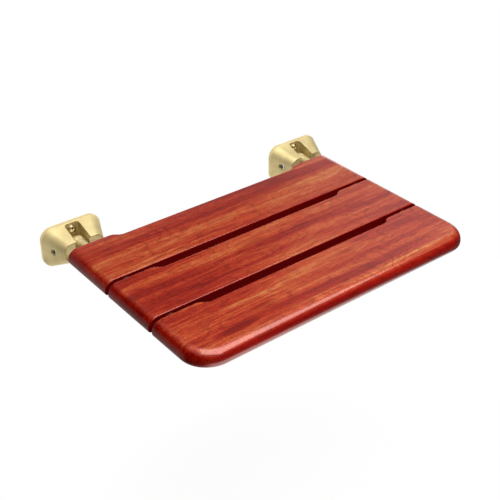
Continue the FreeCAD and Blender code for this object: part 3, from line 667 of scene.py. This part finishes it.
class WoodSettings(bpy.types.PropertyGroup):
    """The varnished slats."""

    heart_colour: hex_property("Darkest wood", "#78140D", "sRGB hex of the dark red heartwood patches")
    red_colour: hex_property("Red wood", "#972314", "sRGB hex of the plain red wood")
    orange_colour: hex_property("Orange wood", "#B04624", "sRGB hex of the orange patches")
    streak_colour: hex_property("Streaks", "#C6824C", "sRGB hex of the ochre streaks")
    # painted shade: the gap edges, the edge stain and the front edge; the end grain is partly painted shade
    gap_shade_colour: hex_property("Gap edges", "#6C0706", "sRGB hex of the edges inside the gaps")
    painted_shade_colour: hex_property("Edge stain", "#F08070", "sRGB hex of the stain on the rounds and the ends")
    end_grain_and_shade_colour: hex_property("End grain", "#DCC4BC", "sRGB hex of the shade of the end grain")
    front_shade_colour: hex_property("Front edge", "#F07058", "sRGB hex of the deeper stain on the front edge")
    ring_colour: hex_property("Ring shade", "#D0C0BC", "sRGB hex of the shade of the growth rings")
    pore_colour: hex_property("Pore shade", "#B4A8A8", "sRGB hex of the shade of the pores")
    sheen_colour: hex_property("Sheen", "#FF9878", "sRGB hex of the warm sheen under the varnish")
    sheen: share_property("Sheen level", 0.95, "How strong the warm sheen is")
    varnish: share_property("Varnish", 0.6, "How full the clear varnish is")
    varnish_roughness: share_property("Varnish roughness", 0.15, "How far it blurs what it mirrors")
    patch_width: length_property("Patch width", 29.4 * MM, "Red and orange patches, across a slat")
    streak_width: length_property("Streak width", 5.0 * MM, "From one ochre streak to the next")
    fibre_width: length_property("Fibre width", 1.429 * MM, "From one fine fibre to the next")
    pore_width: length_property("Pore width", 1.111 * MM, "From one row of pores to the next")
    fleck_width: length_property("Fleck width", 1.25 * MM, "From one short fleck to the next")
    rings: bpy.props.FloatProperty(
        name="Growth rings", default=22.0, description="Growth rings over the full range of the slow noise")


class BrassSettings(bpy.types.PropertyGroup):
    """The cast brackets and the arms."""

    bracket_colour: hex_property("Brackets", "#D9C998", "sRGB hex of the lit satin brass")
    shade_colour: hex_property("Clouds", "#C8B786", "sRGB hex of the duller clouds in the brass")
    # painted shade of the arms' tops under the slats
    painted_shade_colour: hex_property("Stained tops", "#6E4434", "sRGB hex of the rods' tops in the gaps")
    arm_colour: hex_property("Arms", "#E8D8A6", "sRGB hex of the arms")
    roughness: share_property("Roughness", 0.66, "How far the blasted surface blurs what it mirrors")
    bracket_grit: length_property("Bracket grit", 0.5556 * MM, "Drawn size of the grit on the brackets")
    arm_grit: length_property("Arm grit", 0.7143 * MM, "Drawn size of the grit on the arms")


class ScrewSettings(bpy.types.PropertyGroup):
    """The screws, and the sizes of the wall screws."""

    brass_colour: hex_property("Brass screws", "#F0E6C4", "sRGB hex of the wall and slat screws")
    brass_stain: hex_property("Brass stain", "#D8C698", "sRGB hex of the duller places on them")
    steel_colour: hex_property("Steel screws", "#C6C3BC", "sRGB hex of the pivot screws")
    steel_stain: hex_property("Steel stain", "#A3A4A6", "sRGB hex of the duller places on them")
    rolled_ring: length_property("Rolled marks", 3.333 * MM, "Drawn spacing on the wall screws")
    brass_ring: length_property("Brass rings", 1.111 * MM, "Drawn spacing on the slat screws")
    steel_ring: length_property("Steel rings", 0.4545 * MM, "Drawn spacing on the pivot screws")
    head_diameter: length_property("Head diameter", 11.5 * MM, "Wall screw head")
    head_height: length_property("Head height", 2.8 * MM, "Wall screw head, from its seat")
    head_seat: length_property("Head seat", 9.0 * MM, "From the wall to the seat of the head")
    shank: length_property("Shank", 4.4 * MM, "Plain shank in the bracket")
    thread_diameter: length_property("Thread diameter", 6.0 * MM, "Over the thread")
    pitch: length_property("Pitch", 2.6 * MM, "From one turn of the thread to the next")
    depth: length_property("Depth", 42.0 * MM, "Length in the wall")
    point: length_property("Point", 7.0 * MM, "Length of the point")
    recess_length: length_property("Recess length", 4.6 * MM, "Cross recess, tip to tip")
    recess_width: length_property("Recess width", 1.0 * MM, "Cross recess, one bar")
    recess_depth: length_property("Recess depth", 0.9 * MM, "Cross recess, at its middle")
    height: length_property("Height", 19.7 * MM, "From the middle of the flange to a screw")


class BearingSettings(bpy.types.PropertyGroup):
    """The bushes and the thrust washers."""

    # painted shade: the nylon is kept a dark tan for the slots where it shows
    colour: hex_property("Nylon", "#8E7A48", "sRGB hex of the moulded nylon")
    shade: hex_property("Flow lines", "#84703E", "sRGB hex of the flow lines in it")


class StageSettings(bpy.types.PropertyGroup):
    """The floor, the wall panel, the lamp and the camera."""

    floor_height: length_property("Floor", -0.45, "Height of the floor below the brackets")
    floor_reach: length_property("Floor reach", 8.0, "Half the width of the floor")
    paper_light: hex_property("Paper", "#B0B0B0", "sRGB hex of the paper on the floor")
    paper_dark: hex_property("Paper tooth", "#A8A8A8", "sRGB hex of the darker tooth of the paper")
    floor_whiteness: share_property("Floor whiteness", 0.85, "How little shadow the floor keeps")
    floor_level: level_property("Floor level", 1.12, "Level of the white floor to the camera")
    floor_gloss: level_property("Floor in gloss", 2.3, "Level of the floor before the seat, in gloss")
    wall_reach: length_property("Wall reach", 0.9, "Half the width of the wall panel")
    wall_top: length_property("Wall top", 0.6, "Height of the wall panel above the brackets")
    wall_gloss: level_property("Wall in gloss", 1.25, "Level of the wall as gloss shows it")
    wall_height: length_property("Wall height in gloss", 0.05, "Up to where gloss shows the wall")
    below_colour: hex_property("Below", "#606060", "sRGB hex of the studio under the seat")
    horizon_colour: hex_property("Horizon", "#3C3C3C", "sRGB hex of the studio along the horizon")
    zenith_colour: hex_property("Overhead", "#D8D8D8", "sRGB hex of the studio overhead")
    studio_light: level_property("Studio light", 1.0, "Level of the light from all sides")
    screen_light: level_property("Screen", 0.6, "Level of the pale screen behind the seat")
    screen_heading: angle_property("Screen heading", 58.0, "From +Y towards +X")
    screen_climb: angle_property("Screen climb", 28.0, "Above level")
    softbox_place: place_property("Lamp", (0.13, -0.68, 1.36), "Place of the soft lamp")
    softbox_target: place_property("Lamp target", (0.0, -0.56, 0.0), "Where the soft lamp points")
    softbox_width: length_property("Lamp width", 1.33, "Width of the soft lamp, along X")
    softbox_length: length_property("Lamp length", 1.64, "Length of the soft lamp, along Y")
    softbox_power: bpy.props.FloatProperty(
        name="Lamp power", default=33.5, min=0.0, unit="POWER", description="Power of the soft lamp")
    focal_length: bpy.props.FloatProperty(
        name="Focal length", default=69.407, unit="CAMERA",
        description="Lens in millimetres on a 36 mm sensor")
    camera_place: place_property("Camera", (-0.71944, -1.06155, 0.71745), "Place of the camera")
    camera_heading: angle_property("Heading", 38.332, "From +Y towards +X")
    camera_pitch: angle_property("Pitch", 32.579, "Below level")


class SEAT_OT_stage(bpy.types.Operator):
    """Lays the floor and the wall panel, hangs the lamp and sets up the camera"""

    bl_idname = "seat.stage"
    bl_label = "Stage, light and camera"

    def execute(self, context):
        stage = context.scene.seat_stage
        context.scene.view_settings.view_transform = "Standard"
        low, far = stage.floor_height, stage.floor_reach
        floor = ((-far, -far, low), (far, -far, low), (far, far, low), (-far, far, low))
        add_plane("stage_floor", floor, floor_finish(stage))
        side, top, back = stage.wall_reach, stage.wall_top, PANEL_GAP
        wall = ((-side, back, low), (side, back, low), (side, back, top), (-side, back, top))
        add_plane("stage_wall", wall, wall_finish(stage))
        studio_world(stage)
        add_softbox(stage)
        add_camera(stage)
        return {"FINISHED"}


class SEAT_OT_slats(bpy.types.Operator):
    """Varnishes the three slats, each cut from a board of its own"""

    bl_idname = "seat.slats"
    bl_label = "Varnished slats"

    def execute(self, context):
        wood = context.scene.seat_wood
        for name, board in BOARDS.items():
            finish_nodes([name], varnished_hardwood(f"varnished_hardwood_{name}", wood, *board))
        return {"FINISHED"}


class SEAT_OT_castings(bpy.types.Operator):
    """Gives the brackets and the arms their blasted and lacquered brass"""

    bl_idname = "seat.castings"
    bl_label = "Brass brackets and arms"

    def execute(self, context):
        metal = context.scene.seat_brass
        cast = satin_brass("cast_brass", metal, metal.bracket_grit, metal.bracket_colour)
        drawn = satin_brass("drawn_brass", metal, metal.arm_grit, metal.arm_colour, shaded_under_slats=True)
        finish_nodes(CASTINGS, cast)
        finish_nodes(ARMS, drawn)
        return {"FINISHED"}


class SEAT_OT_wall_screws(bpy.types.Operator):
    """Makes the four wall screws with their threads and cross recesses"""

    bl_idname = "seat.wall_screws"
    bl_label = "Threaded wall screws"

    def execute(self, context):
        screws = context.scene.seat_screws
        bright, dull = screws.brass_colour, screws.brass_stain
        brass = turned_metal("rolled_brass", bright, dull, roughness=0.2, ring=screws.rolled_ring)
        for node in WALL_SCREWS:
            x = middle(node, 0)
            grids = [screw_grid(x, z, screws) for z in (screws.height, -screws.height)]
            mesh = closed_mesh(f"{node}_threaded", grids)
            mesh.materials.append(brass)
            mesh.polygons.foreach_set("use_smooth", np.ones(len(mesh.polygons), dtype=bool))
            piece = bpy.data.objects.new(f"{node}_threaded", mesh)
            context.scene.collection.objects.link(piece)
            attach(piece, "wall_mount")
            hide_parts(node)
        finish_nodes(WALL_WASHERS, brass)
        return {"FINISHED"}


class SEAT_OT_fasteners(bpy.types.Operator):
    """Gives the pivot screws their turned steel and the slat screws their brass"""

    bl_idname = "seat.fasteners"
    bl_label = "Pivot and slat screws"

    def execute(self, context):
        screws = context.scene.seat_screws
        bright, dull = screws.steel_colour, screws.steel_stain
        steel = turned_metal(
            "turned_stainless_steel", bright, dull, roughness=0.28, ring=screws.steel_ring
        )
        bright, dull = screws.brass_colour, screws.brass_stain
        brass = turned_metal("turned_brass", bright, dull, roughness=0.26, ring=screws.brass_ring)
        finish_nodes(PIVOT_SCREWS, steel)
        finish_nodes(SLAT_SCREWS, brass)
        return {"FINISHED"}


class SEAT_OT_bearings(bpy.types.Operator):
    """Gives the bushes and the thrust washers their moulded nylon"""

    bl_idname = "seat.bearings"
    bl_label = "Nylon bearings"

    def execute(self, context):
        nylon = context.scene.seat_bearings
        finish_nodes(BEARINGS, moulded_nylon("moulded_nylon", nylon.colour, nylon.shade))
        return {"FINISHED"}


OPERATORS = (
    SEAT_OT_stage,
    SEAT_OT_slats,
    SEAT_OT_castings,
    SEAT_OT_wall_screws,
    SEAT_OT_fasteners,
    SEAT_OT_bearings,
)
SETTINGS = {
    "seat_wood": WoodSettings,
    "seat_brass": BrassSettings,
    "seat_screws": ScrewSettings,
    "seat_bearings": BearingSettings,
    "seat_stage": StageSettings,
}


class SEAT_PT_panel(bpy.types.Panel):
    """Lists the steps and their settings"""

    bl_idname = "SEAT_PT_panel"
    bl_label = "Fold down wall seat"
    bl_space_type = "VIEW_3D"
    bl_region_type = "UI"
    bl_category = "Wall seat"

    def draw(self, context):
        for operator in OPERATORS:
            self.layout.operator(operator.bl_idname)
        for name, group in SETTINGS.items():
            box = self.layout.box()
            box.label(text=group.__doc__)
            for key in group.__annotations__:
                box.prop(getattr(context.scene, name), key)


def register():
    """Adds the settings, the steps and the panel."""
    for name, group in SETTINGS.items():
        bpy.utils.register_class(group)
        setattr(bpy.types.Scene, name, bpy.props.PointerProperty(type=group))
    for thing in (*OPERATORS, SEAT_PT_panel):
        bpy.utils.register_class(thing)


def unregister():
    """Takes them away again, the last one first."""
    for thing in (SEAT_PT_panel, *reversed(OPERATORS)):
        bpy.utils.unregister_class(thing)
    for name, group in reversed(SETTINGS.items()):
        delattr(bpy.types.Scene, name)
        bpy.utils.unregister_class(group)


def main():
    register()
    bpy.ops.seat.stage()
    bpy.ops.seat.slats()
    bpy.ops.seat.castings()
    bpy.ops.seat.wall_screws()
    bpy.ops.seat.fasteners()
    bpy.ops.seat.bearings()


if __name__ == "__main__":
    main()
